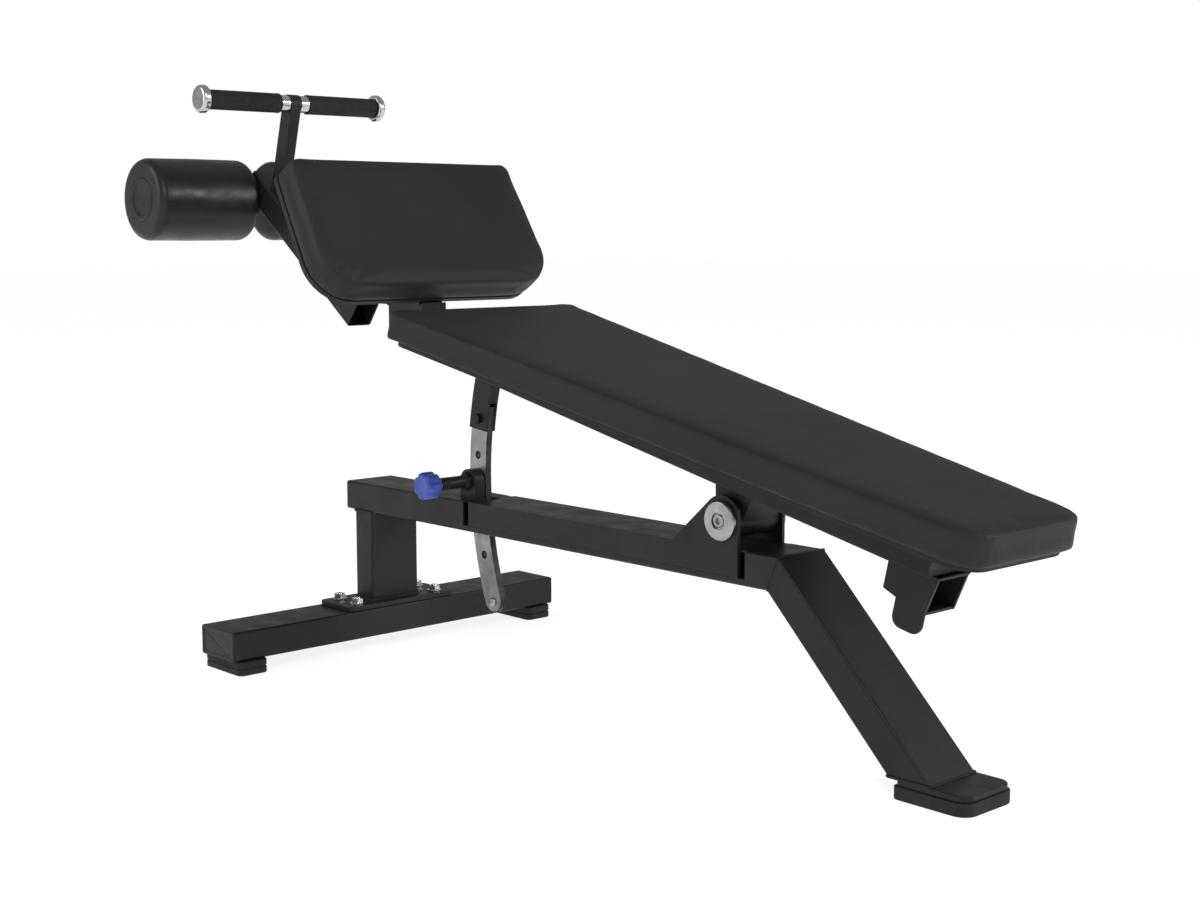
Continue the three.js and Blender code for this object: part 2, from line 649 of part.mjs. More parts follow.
// ---- Support tube, axle and rollers ----
function supportTube() {
  const { side, length } = SUPPORT;
  const half = side / 2;
  const corners = (start, end, wall) => [
    supportPoint(start, wall),
    supportPoint(start, side - wall),
    supportPoint(end, side - wall),
    supportPoint(end, wall),
  ];
  const hollow = prism(corners(-5, length - WALL, WALL), -half + WALL, half - WALL);
  part("support_tube", cut(prism(corners(0, length, 0), -half, half), hollow), BLACK_PAINT);
  const { sleeve: outside, sleeveHalf } = AXLE;
  const bore = bar(AXLE.x, AXLE.z, AXLE.radius + GAP, -sleeveHalf - 1, sleeveHalf + 1);
  const sleeve = cut(bar(AXLE.x, AXLE.z, outside, -sleeveHalf, sleeveHalf), bore);
  part("axle_sleeve", sleeve, BLACK_PAINT);
  part("roller_axle", bar(AXLE.x, AXLE.z, AXLE.radius, -AXLE.half, AXLE.half), STEEL);
}

function rollers() {
  const { radius, inner, outer, round, bore } = ROLLER;
  const recess = outer - 5;
  const steps = 3;
  const corner = (y, from) => Array.from({ length: steps + 1 }, (_, i) => {
    const angle = from + (i / steps) * (Math.PI / 2);
    return [radius - round + round * Math.cos(angle), y + round * Math.sin(angle)];
  });
  const foam = [[bore, inner], ...corner(inner + round, -Math.PI / 2), ...corner(outer - round, 0),
    [40.3, outer], [40.3, recess], [bore, recess]];
  const coreBore = AXLE.radius + 0.4;
  const coreStart = AXLE.sleeveHalf + 2 * GAP;
  const core = [[coreBore, coreStart], [bore - GAP, coreStart], [bore - GAP, recess - GAP],
    [coreBore, recess - GAP]];
  const disc = [[0, recess + GAP], [40, recess + GAP], [40, outer], [36, outer + 1.5], [31, outer + 1.5],
    [29, outer - 0.5], [0, outer - 0.5]];
  const closed = (profile) => [...profile, profile[0]];
  for (const [name, side] of SIDES) {
    const placed = (profile) => profile.map(([r, y]) => [r, side * y]);
    part(`roller_foam_${name}`, turned(placed(closed(foam)), AXLE.x, AXLE.z), FOAM_SKIN);
    part(`roller_core_${name}`, turned(placed(closed(core)), AXLE.x, AXLE.z), BLACK_PLASTIC);
    part(`roller_cap_${name}`, turned(placed(disc), AXLE.x, AXLE.z), BLACK_PLASTIC);
  }
}

// ---- T-handle ----
function handle() {
  const { x, z, lean, reach } = HANDLE;
  const down = [-Math.sin(lean), -Math.cos(lean)];
  const across = [-down[1], down[0]];
  const at = (along, side) => [
    x + down[0] * along + across[0] * side,
    z + down[1] * along + across[1] * side,
  ];
  const shank = prism([at(0, -15), at(0, 15), at(210, 15), at(210, -15)], -11, 11);
  const eye = bar(x, z, 17, -11, 11);
  const bore = bar(x, z, 12.8, -12, 12);
  const below = prism([[-600, supportTop(-600)], [0, supportTop(0)], [0, 300], [-600, 300]], -60, 60);
  part("handle_post", cut(join(shank, eye), bore, below), BLACK_PAINT);
  const barEnd = reach - 7;
  part("handle_bar", cut(bar(x, z, 12.5, -barEnd, barEnd), bar(x, z, 10, -reach, reach)), CHROME);
  const closed = (profile) => [...profile, profile[0]];
  const grip = closed([[12.8, 30.3], [17, 30.3], [18, 31.3], [18, reach - 16], [12.8, reach - 16]]);
  const collar = closed([[12.8, 11.3], [15.5, 11.3], [15.5, 30], [12.8, 30]]);
  const cap = [[12.8, reach - 15.7], [22, reach - 15.7], [25, reach - 13], [25, reach - 4],
    [22, reach], [0, reach],
    [0, barEnd + GAP], [12.8, barEnd + GAP], [12.8, reach - 15.7]];
  for (const [name, side] of SIDES) {
    const placed = (profile) => profile.map(([r, y]) => [r, side * y]);
    part(`grip_${name}`, turned(placed(grip), x, z), RUBBER);
    part(`grip_collar_${name}`, turned(placed(collar), x, z), CHROME);
    part(`handle_cap_${name}`, turned(placed(cap), x, z), CHROME);
  }
}

crossbar();
basePlate();
post();
beam();
sidePlates();
leg();
pivot();
popPin();
boardPieces();
liftBracket();
pivotBarrel();
arcAdjuster();
neck();
kneePad();
supportTube();
rollers();
handle();

// The origin is on the floor, under the middle of the whole bench.
const bounds = new THREE.Box3().setFromObject(bench);
bench.position.x = -(bounds.min.x + bounds.max.x) / 2;

export default bench;
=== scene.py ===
"""Adjustable decline bench: the visible pieces and finishes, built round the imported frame.

Metres, +Z up, the floor at z = 0. +X runs from the rollers to the low end of the board, and y = 0 is the
plane of symmetry. Lengths written in millimetres are multiplied by MM.
"""
import json
import math

import bmesh
import bpy
from mathutils import Matrix, Vector, noise


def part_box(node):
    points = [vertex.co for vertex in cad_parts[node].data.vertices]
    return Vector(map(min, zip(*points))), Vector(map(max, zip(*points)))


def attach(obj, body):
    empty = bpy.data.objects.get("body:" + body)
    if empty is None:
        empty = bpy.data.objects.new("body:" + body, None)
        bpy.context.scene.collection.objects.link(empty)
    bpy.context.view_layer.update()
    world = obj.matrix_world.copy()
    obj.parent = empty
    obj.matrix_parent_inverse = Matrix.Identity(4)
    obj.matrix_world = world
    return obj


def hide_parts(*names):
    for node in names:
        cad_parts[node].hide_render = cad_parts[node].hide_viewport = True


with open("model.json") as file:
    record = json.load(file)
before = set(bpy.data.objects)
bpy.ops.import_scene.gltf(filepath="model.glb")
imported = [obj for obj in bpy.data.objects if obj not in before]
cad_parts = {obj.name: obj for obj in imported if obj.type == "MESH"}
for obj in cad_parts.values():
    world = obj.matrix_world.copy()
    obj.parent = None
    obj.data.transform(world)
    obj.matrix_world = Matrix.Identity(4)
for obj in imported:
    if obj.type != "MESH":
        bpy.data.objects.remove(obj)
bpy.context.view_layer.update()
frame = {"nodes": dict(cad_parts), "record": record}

MM = 0.001
BODY_OF = {node: body for body, nodes in frame["record"]["behaviour"]["bodies"].items() for node in nodes}
SLOT_OF = {part["node"]: part["material_slot"] for part in frame["record"]["subparts"]}
SIDES = {"near": -1, "far": 1}

# ---- Driving dimensions ----
BOARD_SLOPE = math.radians(12.4)
KNEE_SLOPE = math.radians(58.8)
SUPPORT_SLOPE = math.radians(36.4)
TUBE_CORNER = 4 * MM             # outer corner of the rectangular tube
PLATE_EASE = 0.8 * MM            # eased edge of a cut plate
SEAT_HALF = 198.6 * MM           # half width of the board at its raised end
HEAD_HALF = 125.2 * MM           # half width of the board at its low end
KNEE_TOP_HALF = 234 * MM         # half width of the knee pad at its upper edge
KNEE_BOTTOM_HALF = 244 * MM      # and at its lower edge
GAP = 0.3 * MM                   # left between pieces that touch
ONE_SIDED = 5 * MM               # a piece whose middle is further out than this is on one side only
BUSH_BORE = 12.7 * MM
CORE_BORE = 10.4 * MM
AXLE_BORE = 10.3 * MM
FOAM_BORE = 18.4 * MM
HANDLE_BAR_BORE = 10 * MM
GRIP_BORE = 12.8 * MM            # of the grips, their collars and the end caps
ROUND_STEPS = 96                 # sides of a turned piece

PAD_PRESSURE = 4.0               # of the air that swells a cushion
CLOTH_FRAMES = 20

FOCAL_LENGTH = 52.98             # mm, on a sensor 36 mm wide
CAMERA_PLACE = (2.1227, -1.8473, 0.7360)
CAMERA_DIP = math.radians(7.117)
CAMERA_HEADING = math.radians(47.135)
ROOM_LIGHT = 0.38                # light of the room round the bench, beside the white of the backdrop
FLOOR_TONE = 0.4
FLOOR_GLOW = 0.84                # the floor is a light table, so that it stays as pale as the backdrop

UP = Vector((0, 0, 1))
DOWN = -UP

ALONG_BOARD = Vector((math.cos(BOARD_SLOPE), 0, -math.sin(BOARD_SLOPE)))
ABOVE_BOARD = Vector((math.sin(BOARD_SLOPE), 0, math.cos(BOARD_SLOPE)))
UNDER_SUPPORT = Vector((-math.sin(SUPPORT_SLOPE), 0, -math.cos(SUPPORT_SLOPE)))


# ---- Camera and stage ----
def set_camera():
    camera = bpy.data.objects.new("camera", bpy.data.cameras.new("camera"))
    camera.data.lens = FOCAL_LENGTH
    camera.data.sensor_width = 36
    camera.data.clip_end = 50
    camera.location = CAMERA_PLACE
    camera.rotation_euler = (math.pi / 2 - CAMERA_DIP, 0, CAMERA_HEADING)
    bpy.context.scene.collection.objects.link(camera)
    bpy.context.scene.camera = camera


def area_light(name, place, target, size, power):
    light = bpy.data.lights.new(name, "AREA")
    light.shape = "RECTANGLE"
    light.size, light.size_y = size
    light.energy = power
    lamp = bpy.data.objects.new(name, light)
    lamp.location = place
    lamp.rotation_euler = (Vector(target) - Vector(place)).to_track_quat("-Z", "Y").to_euler()
    bpy.context.scene.collection.objects.link(lamp)


def set_stage():
    bpy.context.scene.view_settings.view_transform = "Standard"
    world = bpy.data.worlds.new("studio")
    world.use_nodes = True
    world.node_tree.nodes["Background"].inputs["Color"].default_value = (1, 1, 1, 1)
    tree = world.node_tree
    ray = add_node(tree, "ShaderNodeLightPath")
    room = add_node(tree, "ShaderNodeMapRange", {"Value": ray.outputs["Is Camera Ray"]},
                    {"To Min": ROOM_LIGHT, "To Max": 1.0})
    tree.links.new(room.outputs["Result"], tree.nodes["Background"].inputs["Strength"])
    bpy.context.scene.world = world
    middle = (0, 0, 0.45)
    area_light("key_light", (3.4, 2.6, 2.2), middle, (0.9, 0.9), 62)
    area_light("front_light", (2.4, -2.4, 2.6), middle, (1.6, 1.6), 45)
    area_light("side_light", (-2.4, -2.8, 1.8), middle, (1.2, 1.8), 26)
    bm = bmesh.new()
    bmesh.ops.create_grid(bm, x_segments=1, y_segments=1, size=30)
    mesh = bpy.data.meshes.new("floor")
    bm.to_mesh(mesh)
    bm.free()
    floor = bpy.data.objects.new("floor", mesh)
    bpy.context.scene.collection.objects.link(floor)
    tree, shader, material = finish_tree("pale_floor")
    shader.inputs["Roughness"].default_value = 0.9
    shader.inputs["Specular IOR Level"].default_value = 0.0
    shader.inputs["Base Color"].default_value = (FLOOR_TONE, FLOOR_TONE, FLOOR_TONE, 1)
    shader.inputs["Emission Color"].default_value = (1, 1, 1, 1)
    shader.inputs["Emission Strength"].default_value = FLOOR_GLOW
    mesh.materials.append(material)


# ---- Finishes ----
def finish_tree(name):
    material = bpy.data.materials.new(name)
    material.use_nodes = True
    tree = material.node_tree
    return tree, tree.nodes["Principled BSDF"], material


def add_node(tree, kind, links=None, values=None, **settings):
    node = tree.nodes.new(kind)
    for name, value in settings.items():
        setattr(node, name, value)
    for name, value in (values or {}).items():
        node.inputs[name].default_value = value
    for name, socket in (links or {}).items():
        tree.links.new(socket, node.inputs[name])
    return node


def object_coords(tree, stretch=(1, 1, 1)):
    coords = add_node(tree, "ShaderNodeTexCoord")
    return add_node(tree, "ShaderNodeMapping", {"Vector": coords.outputs["Object"]},
                    {"Scale": stretch}).outputs["Vector"]


def noise_field(tree, coords, scale, detail=2.0, roughness=0.5):
    field = add_node(tree, "ShaderNodeTexNoise", {"Vector": coords},
                     {"Scale": scale, "Detail": detail, "Roughness": roughness})
    return field.outputs["Fac"]


def remap(tree, value, low, high, start=0.3, end=0.7):
    node = add_node(tree, "ShaderNodeMapRange", {"Value": value},
                    {"From Min": start, "From Max": end, "To Min": low, "To Max": high})
    return node.outputs["Result"]


def tint(tree, shader, value, dark, light):
    ramp = add_node(tree, "ShaderNodeValToRGB", {"Fac": value})
    ramp.color_ramp.elements[0].position = 0.3
    ramp.color_ramp.elements[0].color = (*dark, 1)
    ramp.color_ramp.elements[1].position = 0.7
    ramp.color_ramp.elements[1].color = (*light, 1)
    tree.links.new(ramp.outputs["Color"], shader.inputs["Base Color"])


def bump(tree, shader, height, depth, strength=1.0, below=None):
    node = add_node(tree, "ShaderNodeBump", {"Height": height}, {"Distance": depth, "Strength": strength})
    if below:
        tree.links.new(below.outputs["Normal"], node.inputs["Normal"])
    tree.links.new(node.outputs["Normal"], shader.inputs["Normal"])
    return node


def powder_coat():
    """Satin black powder coat: orange-peel, and faint drifts of tone and gloss."""
    tree, shader, material = finish_tree("satin_black_powder_coat")
    shader.inputs["Specular IOR Level"].default_value = 0.2
    coords = object_coords(tree)
    tint(tree, shader, noise_field(tree, coords, 7, 3), (0.0125, 0.013, 0.0135), (0.019, 0.0195, 0.020))
    tree.links.new(remap(tree, noise_field(tree, coords, 30, 4), 0.36, 0.5), shader.inputs["Roughness"])
    peel = bump(tree, shader, noise_field(tree, coords, 650, 1), 0.12 * MM, 0.5)
    bump(tree, shader, noise_field(tree, coords, 2600, 2), 0.03 * MM, 0.5, peel)
    return material


def leatherette():
    """Black coated cloth with a pebbled grain."""
    tree, shader, material = finish_tree("black_leatherette")
    shader.inputs["Specular IOR Level"].default_value = 0.2
    coords = object_coords(tree)
    warp = add_node(tree, "ShaderNodeTexNoise", {"Vector": coords}, {"Scale": 260.0, "Detail": 2.0})
    moved = add_node(tree, "ShaderNodeVectorMath", {0: coords}, operation="ADD")
    shift = add_node(tree, "ShaderNodeVectorMath", {0: warp.outputs["Color"]}, operation="SCALE")
    shift.inputs["Scale"].default_value = 0.0012
    tree.links.new(shift.outputs["Vector"], moved.inputs[1])
    cells = add_node(tree, "ShaderNodeTexVoronoi", {"Vector": moved.outputs["Vector"]}, {"Scale": 620.0},
                     feature="DISTANCE_TO_EDGE")
    pebble = remap(tree, cells.outputs["Distance"], 0, 1, 0, 0.28)
    tint(tree, shader, noise_field(tree, coords, 5, 3), (0.0165, 0.0175, 0.0185), (0.0225, 0.0235, 0.0245))
    tree.links.new(remap(tree, pebble, 0.6, 0.46, 0, 1), shader.inputs["Roughness"])
    grain = bump(tree, shader, pebble, 0.16 * MM, 0.55)
    bump(tree, shader, noise_field(tree, coords, 22, 3), 0.8 * MM, 0.35, grain)
    return material


def foam_skin():
    """Smooth moulded skin of the rollers: fine pores and slow ripples."""
    tree, shader, material = finish_tree("black_foam_skin")
    shader.inputs["Specular IOR Level"].default_value = 0.3
    coords = object_coords(tree)
    tint(tree, shader, noise_field(tree, coords, 9, 3), (0.0105, 0.0105, 0.011), (0.0155, 0.0155, 0.016))
    tree.links.new(remap(tree, noise_field(tree, coords, 60, 4), 0.3, 0.42), shader.inputs["Roughness"])
    pores = bump(tree, shader, noise_field(tree, coords, 1400, 2), 0.05 * MM, 0.5)
    bump(tree, shader, noise_field(tree, coords, 26, 2), 0.7 * MM, 0.4, pores)
    return material


def moulded(name, dark, light, gloss, grain):
    """Moulded plastic or rubber: a spark-eroded texture and slight tone changes."""
    tree, shader, material = finish_tree(name)
    shader.inputs["Specular IOR Level"].default_value = 0.25
    coords = object_coords(tree)
    tint(tree, shader, noise_field(tree, coords, 24, 3), dark, light)
    tree.links.new(remap(tree, noise_field(tree, coords, 90, 3), *gloss), shader.inputs["Roughness"])
    bump(tree, shader, noise_field(tree, coords, 1500, 2), grain, 0.6)
    return material


def plated(name, dark, light, gloss, stretch=(1, 1, 1), streak=180):
    """Plated or machined metal: long fine streaks along the way that it was worked."""
    tree, shader, material = finish_tree(name)
    shader.inputs["Metallic"].default_value = 1.0
    coords = object_coords(tree)
    worked = object_coords(tree, stretch)
    tint(tree, shader, noise_field(tree, coords, 35, 4), dark, light)
    tree.links.new(remap(tree, noise_field(tree, worked, streak, 5), *gloss), shader.inputs["Roughness"])
    bump(tree, shader, noise_field(tree, worked, streak * 3, 3), 0.02 * MM, 0.4)
    return material


def faced(centre):
    """Metal faced on a lathe about an axis along Y: fine rings round its centre."""
    tree, shader, material = finish_tree("faced_metal")
    shader.inputs["Metallic"].default_value = 1.0
    coords = add_node(tree, "ShaderNodeTexCoord")
    moved = add_node(tree, "ShaderNodeMapping", {"Vector": coords.outputs["Object"]},
                     {"Location": (-centre[0], 0, -centre[2])})
    rings = add_node(tree, "ShaderNodeTexWave", {"Vector": moved.outputs["Vector"]},
                     {"Scale": 520.0, "Distortion": 0.4, "Detail": 2.0},
                     wave_type="RINGS", rings_direction="Y")
    drift = noise_field(tree, coords.outputs["Object"], 60, 3)
    tint(tree, shader, drift, (0.33, 0.335, 0.34), (0.44, 0.445, 0.45))
    tree.links.new(remap(tree, rings.outputs["Fac"], 0.3, 0.42, 0, 1), shader.inputs["Roughness"])
    bump(tree, shader, rings.outputs["Fac"], 0.02 * MM, 0.5)
    return material


def stained_ply():
    """Plywood stained black: long grain, and lighter plies showing at the edge."""
    tree, shader, material = finish_tree("black_stained_plywood")
    grain = noise_field(tree, object_coords(tree, (3, 60, 60)), 14, 6, 0.65)
    tint(tree, shader, grain, (0.008, 0.0075, 0.007), (0.024, 0.02, 0.016))
    tree.links.new(remap(tree, grain, 0.55, 0.8), shader.inputs["Roughness"])
    bump(tree, shader, grain, 0.15 * MM, 0.6)
    return material


FINISHES = {
    "black_paint": powder_coat(),
    "leatherette": leatherette(),
    "foam_skin": foam_skin(),
    "black_plastic": moulded("black_moulded_plastic", (0.011, 0.011, 0.012), (0.017, 0.017, 0.018),
                             (0.4, 0.52), 0.08 * MM),
    "rubber": moulded("black_rubber", (0.012, 0.012, 0.0125), (0.02, 0.02, 0.021), (0.6, 0.75), 0.15 * MM),
    "blue_plastic": moulded("blue_moulded_plastic", (0.045, 0.075, 0.36), (0.065, 0.10, 0.44), (0.28, 0.4),
                            0.05 * MM),
    "chrome": plated("bright_chrome", (0.46, 0.465, 0.47), (0.58, 0.585, 0.59), (0.14, 0.24), (1, 1, 1), 60),
    "steel": plated("zinc_plated_steel", (0.24, 0.245, 0.25), (0.36, 0.365, 0.37), (0.3, 0.44), (1, 0.08, 1)),
    "bronze": plated("bronze_bush", (0.36, 0.22, 0.08), (0.5, 0.33, 0.14), (0.35, 0.5)),
    "plywood": stained_ply(),
}


# ---- Making pieces ----
def place(bm, name, node, stands_for=True, material=None, crease=40, flat_faces=True):
    """Makes a piece of the mesh, in the finish and on the body of a CAD node."""
    mesh = bpy.data.meshes.new(name)
    bm.to_mesh(mesh)
    bm.free()
    piece = bpy.data.objects.new(name, mesh)
    bpy.context.scene.collection.objects.link(piece)
    mesh.materials.append(material or FINISHES[SLOT_OF[node]])
    mesh.shade_smooth()
    mesh.set_sharp_from_angle(angle=math.radians(crease))
    if flat_faces:
        piece.modifiers.new("face_weight", "WEIGHTED_NORMAL").keep_sharp = True
    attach(piece, BODY_OF[node])
    if stands_for:
        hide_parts(node)
    return piece


def copy_of(node):
    """The node's own shape, with its triangles merged into flat faces."""
    bm = bmesh.new()
    bm.from_mesh(frame["nodes"][node].data)
    bmesh.ops.remove_doubles(bm, verts=bm.verts, dist=0.01 * MM)
    bmesh.ops.dissolve_limit(bm, angle_limit=math.radians(1), verts=bm.verts, edges=bm.edges)
    return bm


def round_edges(bm, radius, segments=3, wanted=None, sharp=25):
    edges = [edge for edge in bm.edges
             if edge.is_manifold and edge.calc_face_angle(0) > math.radians(sharp) and edge.is_convex
             and (wanted is None or wanted(edge))]
    bmesh.ops.bevel(bm, geom=edges, offset=radius, offset_type="OFFSET", segments=segments, profile=0.5,
                    affect="EDGES", clamp_overlap=True, material=-1)


def parallel(edge, direction):
    run = (edge.verts[1].co - edge.verts[0].co).normalized()
    return abs(run.dot(direction)) > 0.999


def upright_at(x):
    """Picks the upright edges at one place along the piece."""
    return lambda edge: parallel(edge, UP) and abs(edge.verts[0].co.x - x) < 1 * MM


def level_at(z):
    """Picks the edges that lie level at a height."""
    return lambda edge: all(abs(vert.co.z - z) < 0.1 * MM for vert in edge.verts)


def tube(node):
    """A rectangular tube: its long outer corners are round, as rolled tube has them."""
    bm = copy_of(node)
    broad = 3000 * MM * MM
    long = 45 * MM
    round_edges(bm, TUBE_CORNER, 4, lambda edge: edge.calc_length() > long
                and min(face.calc_area() for face in edge.link_faces) > broad)
    return place(bm, f"{node}_painted", node)


def plate(node, ease=PLATE_EASE, segments=2, material=None):
    bm = copy_of(node)
    round_edges(bm, ease, segments)
    return place(bm, f"{node}_finished", node, material=material)


def block(node):
    """A box that fills the node's own box."""
    low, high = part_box(node)
    bm = bmesh.new()
    bmesh.ops.create_cube(bm, size=1)
    bmesh.ops.scale(bm, vec=high - low, verts=bm.verts)
    bmesh.ops.translate(bm, vec=(low + high) / 2, verts=bm.verts)
    return bm


def fillet(points, radius, steps=4, closed=False):
    """A line of [radius, y] or 3-D points with its corners rounded."""
    points = [Vector(point) for point in points]
    count = len(points)
    result = []
    for i, corner in enumerate(points):
        if not closed and i in (0, count - 1):
            result.append(corner)
            continue
        before = points[i - 1] - corner
        after = points[(i + 1) % count] - corner
        reach = min(radius, before.length * 0.45, after.length * 0.45)
        start = corner + before.normalized() * reach
        end = corner + after.normalized() * reach
        for step in range(steps + 1):
            t = step / steps
            result.append(start * (1 - t) ** 2 + corner * 2 * t * (1 - t) + end * t ** 2)
    return result


def spin_profile(profile, centre, steps=ROUND_STEPS, closed=False):
    """Turns a profile of (radius, y) round an axis along Y through the centre."""
    bm = bmesh.new()
    verts = [bm.verts.new((centre.x + radius, y, centre.z)) for radius, y in profile]
    edges = [bm.edges.new(pair) for pair in zip(verts, verts[1:])]
    if closed:
        edges.append(bm.edges.new((verts[-1], verts[0])))
    bmesh.ops.spin(bm, geom=verts + edges, cent=centre, axis=(0, 1, 0), angle=2 * math.pi, steps=steps,
                   use_merge=True, use_duplicate=False)
    bmesh.ops.remove_doubles(bm, verts=bm.verts, dist=0.005 * MM)
    bmesh.ops.recalc_face_normals(bm, faces=bm.faces)
    return bm


def round_size(node):
    """The radius of a round node, and the point where its axis crosses the middle plane."""
    low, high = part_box(node)
    return (high.x - low.x) / 2, Vector(((low.x + high.x) / 2, 0, (low.z + high.z) / 2))


def side_of(node):
    """The side that a node lies on: -1 for the near side, 1 for the far side or across the middle."""
    low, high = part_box(node)
    return -1 if (low.y + high.y) / 2 < -ONE_SIDED else 1


def signed_span(node):
    """Where a node starts and ends across the bench, counted outwards on its own side."""
    low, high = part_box(node)
    side = side_of(node)
    return sorted((side * low.y, side * high.y))


def turned(node, profile, ease=0.6 * MM, closed=False, steps=ROUND_STEPS, **options):
    """A turned piece in a CAD node's place. The profile is (radius, y), with y counted outwards."""
    side = side_of(node)
    centre = round_size(node)[1]
    outline = fillet([(radius, side * y) for radius, y in profile], ease, 3, closed)
    return place(spin_profile(outline, centre, steps, closed), f"{node}_turned", node, crease=50, **options)


def outward_span(node):
    """How far from the middle plane a one-sided node starts and ends."""
    low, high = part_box(node)
    return sorted((abs(low.y), abs(high.y)))


def rod(node, ease=1 * MM):
    radius = round_size(node)[0]
    start, end = signed_span(node)
    return turned(node, [(0, start), (radius, start), (radius, end), (0, end)], ease)


def sleeve(node, bore, ease=0.8 * MM):
    radius = round_size(node)[0]
    start, end = signed_span(node)
    return turned(node, [(bore, start), (radius, start), (radius, end), (bore, end)], ease, closed=True)


def combine(bm, tool, operation):
    """Joins, cuts or crosses two solids, and gives the first one back."""
    temporary = []
    for label, source in (("body", bm), ("tool", tool)):
        mesh = bpy.data.meshes.new(label)
        source.to_mesh(mesh)
        source.free()
        thing = bpy.data.objects.new(label, mesh)
        bpy.context.scene.collection.objects.link(thing)
        temporary.append(thing)
    body, cutter = temporary
    modifier = body.modifiers.new("combine", "BOOLEAN")
    modifier.object = cutter
    modifier.operation = operation
    modifier.solver = "EXACT"
    graph = bpy.context.evaluated_depsgraph_get()
    result = bmesh.new()
    result.from_object(body, graph)
    for thing in temporary:
        bpy.data.meshes.remove(thing.data)
    return result


def hex_prism(centre, axis, across, start, end):
    """A six-sided bar along an axis, from start to end along it. Across is its corner radius."""
    bm = bmesh.new()
    bmesh.ops.create_cone(bm, cap_ends=True, segments=6, radius1=across, radius2=across, depth=end - start)
    bmesh.ops.translate(bm, vec=(0, 0, (start + end) / 2), verts=bm.verts)
    turn = UP.rotation_difference(Vector(axis)).to_matrix().to_4x4()
    bmesh.ops.transform(bm, matrix=Matrix.Translation(centre) @ turn, verts=bm.verts)
    return bm


def turned_on(centre, axis, profile, steps=48):
    """A turned solid about any axis: the profile is (radius, distance along the axis)."""
    bm = spin_profile([(radius, along) for radius, along in profile], Vector((0, 0, 0)), steps)
    turn = Vector((0, 1, 0)).rotation_difference(Vector(axis)).to_matrix().to_4x4()
    bmesh.ops.transform(bm, matrix=Matrix.Translation(centre) @ turn, verts=bm.verts)
    return bm


def hex_head(centre, axis, across, start, end):
    """A hexagon head with its outer corners chamfered round."""
    flat = across * math.cos(math.pi / 6)
    rim = 0.9 * MM
    dome = [(0, start), (across * 1.02, start), (across * 1.02, end - rim), (flat, end), (0, end)]
    prism = hex_prism(centre, axis, across, start, end)
    return combine(prism, turned_on(centre, axis, dome, 72), "INTERSECT")


def merged(*meshes):
    """Several closed shapes in one mesh."""
    bm = bmesh.new()
    for source in meshes:
        mesh = bpy.data.meshes.new("shape")
        source.to_mesh(mesh)
        source.free()
        bm.from_mesh(mesh)
        bpy.data.meshes.remove(mesh)
    return bm


# ---- Welds ----
def end_outline(node, direction):
    """The outer outline of the flat face that a node ends in on one side, as ordered points."""
    bm = copy_of(node)
    direction = direction.normalized()
    reach = max(vert.co.dot(direction) for vert in bm.verts)
    faces = {face for face in bm.faces if face.normal.dot(direction) > 0.999
             and abs(face.verts[0].co.dot(direction) - reach) < 0.5 * MM}
    rim = [edge for edge in bm.edges if sum(face in faces for face in edge.link_faces) == 1]
    loops = []
    while rim:
        first = rim.pop()
        chain = [first.verts[0], first.verts[1]]
        while chain[-1] is not chain[0]:
            following = next(edge for edge in rim if chain[-1] in edge.verts)
            rim.remove(following)
            chain.append(following.other_vert(chain[-1]))
        loops.append([vert.co.copy() for vert in chain[:-1]])
    bm.free()
    return max(loops, key=lambda loop: sum((a - b).length for a, b in zip(loop, loop[1:] + loop[:1])))


def weld(name, node, direction, radius=2.4 * MM):
    """A rippled bead round the end of a tube or plate."""
    path = fillet(end_outline(node, direction), TUBE_CORNER, 3, closed=True)
    ripple = 2.8 * MM
    steps_per_ripple = 4
    beads = []
    for i, point in enumerate(path):
        run = path[(i + 1) % len(path)] - point
        count = max(1, round(run.length / (ripple / steps_per_ripple)))
        beads += [point + run * (k / count) for k in range(count)]
    curve = bpy.data.curves.new(name, "CURVE")
    curve.dimensions = "3D"
    curve.bevel_depth = radius
    curve.bevel_resolution = 2
    spline = curve.splines.new("POLY")
    spline.points.add(len(beads) - 1)
    for i, point in enumerate(beads):
        spline.points[i].co = (*point, 1)
        wave = math.cos(2 * math.pi * i / steps_per_ripple)
        drift = noise.noise(point * 90)
        spline.points[i].radius = 1 + 0.09 * wave + 0.16 * drift
    spline.use_cyclic_u = True
    holder = bpy.data.objects.new(name, curve)
    bpy.context.scene.collection.objects.link(holder)
    graph = bpy.context.evaluated_depsgraph_get()
    swept = bpy.data.meshes.new_from_object(holder.evaluated_get(graph))
    bm = bmesh.new()
    bm.from_mesh(swept)
    bpy.data.meshes.remove(swept)
    bpy.data.curves.remove(curve)
    bmesh.ops.recalc_face_normals(bm, faces=bm.faces)
    place(bm, name, node, stands_for=False, crease=60, flat_faces=False, material=FINISHES["black_paint"])


